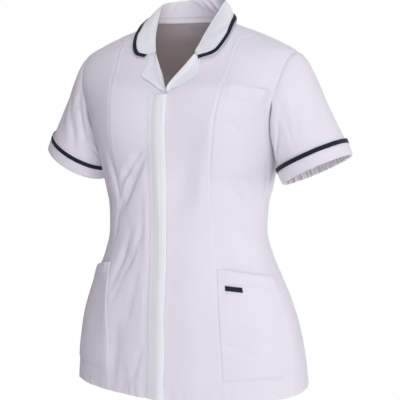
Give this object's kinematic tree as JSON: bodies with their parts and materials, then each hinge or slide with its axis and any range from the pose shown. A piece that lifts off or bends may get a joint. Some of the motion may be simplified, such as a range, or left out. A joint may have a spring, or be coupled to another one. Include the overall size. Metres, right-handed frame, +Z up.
{
  "type": "work tunic",
  "caption": "Short-sleeved work tunic in white polycotton with navy trim: revere collar, concealed front placket, princess seams and patch pockets, hollow as worn.",
  "frame": {"origin": "in the neck opening, level with the side of the neck, where the wearer's shoulders carry the tunic", "axes": "+Z up, -Y to the wearer's front, +X to the wearer's left"},
  "size_m": [0.5881, 0.3158, 0.6859],
  "materials": {
    "white_cloth": "matt plain-weave polycotton",
    "navy_cloth": "matt flat trim",
    "grey_cloth": "matt woven strip"
  },
  "bodies": {
    "root": {"front_centre_right": "white_cloth", "front_centre_left": "white_cloth", "front_side_right": "white_cloth", "front_side_left": "white_cloth", "back_panel": "white_cloth", "placket": "white_cloth", "lapel_right": "white_cloth", "lapel_left": "white_cloth", "chest_pocket": "white_cloth", "pocket_left": "white_cloth", "pocket_right": "white_cloth", "pocket_label": "navy_cloth", "sleeve_left": "white_cloth", "sleeve_right": "white_cloth", "cuff_left": "white_cloth", "cuff_right": "white_cloth", "cuff_trim_left": "navy_cloth", "cuff_trim_right": "navy_cloth", "collar": "white_cloth", "collar_trim": "navy_cloth", "neck_loop": "grey_cloth"}
  },
  "joints": []
}
